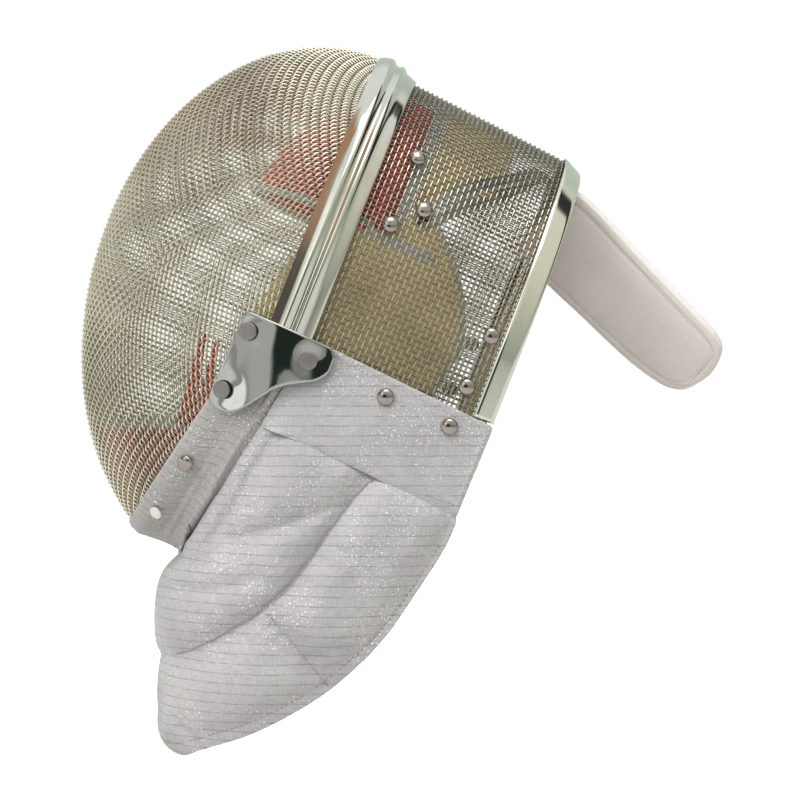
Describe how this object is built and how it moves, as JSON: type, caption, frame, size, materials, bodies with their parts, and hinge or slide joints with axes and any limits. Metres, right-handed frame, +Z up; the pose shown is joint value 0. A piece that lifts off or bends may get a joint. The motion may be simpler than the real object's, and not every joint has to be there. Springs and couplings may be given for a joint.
{
  "type": "sabre fencing mask",
  "caption": "Sabre fencing mask as worn: a domed wire cage, a wire crown with a chrome hoop and rim, a quilted metallic bib, padded lining and a padded sprung tongue at the nape.",
  "frame": {"origin": "the wearer's crown, where the head sits against the inside of the rear pad", "axes": "the wearer faces -Y, +X is the wearer's left and +Z is up; the mask keeps the tilt of a bowed head that it has in the picture"},
  "size_m": [0.2098, 0.3716, 0.4045],
  "materials": {
    "wire": "woven steel wire, bright with a warm tone on the face",
    "chrome": "polished chrome plate",
    "rivet": "polished nickel",
    "lame": "silver-grey metallic cloth with a fine cross stripe",
    "red": "matt red lining cloth",
    "khaki": "matt khaki lining cloth",
    "tape": "matt grey woven tape",
    "tongue": "pale warm grey leatherette, satin",
    "spring": "dull spring steel in a grey sleeve"
  },
  "bodies": {
    "root": {"front_mesh": "wire", "side_mesh": "wire", "hoop": "chrome", "rear_rim": "chrome", "bracket_left": "chrome", "bracket_right": "chrome", "bracket_rivet_top_left": "rivet", "bracket_rivet_low_left": "rivet", "bracket_rivet_rear_left": "rivet", "side_rivet_crown_left": "rivet", "side_rivet_strap_left": "rivet", "side_rivet_pad_left": "rivet", "side_rivet_rim_upper_left": "rivet", "side_rivet_rim_lower_left": "rivet", "yoke_rivet_front_left": "rivet", "yoke_rivet_rear_left": "rivet", "band_rivet_dome_left": "rivet", "band_rivet_flat_left": "rivet", "bracket_rivet_top_right": "rivet", "bracket_rivet_low_right": "rivet", "bracket_rivet_rear_right": "rivet", "side_rivet_crown_right": "rivet", "side_rivet_strap_right": "rivet", "side_rivet_pad_right": "rivet", "side_rivet_rim_upper_right": "rivet", "side_rivet_rim_lower_right": "rivet", "yoke_rivet_front_right": "rivet", "yoke_rivet_rear_right": "rivet", "band_rivet_dome_right": "rivet", "band_rivet_flat_right": "rivet", "bib_band": "lame", "bib_apron": "lame", "yoke_left": "lame", "yoke_right": "lame", "crown_pad": "red", "chin_pad": "red", "rear_pad": "khaki", "ear_pad_left": "khaki", "ear_pad_right": "khaki", "pad_binding": "tape", "ear_tab_left": "tape", "ear_tab_right": "tape", "tongue": "tongue", "tongue_spring": "spring"}
  },
  "joints": []
}
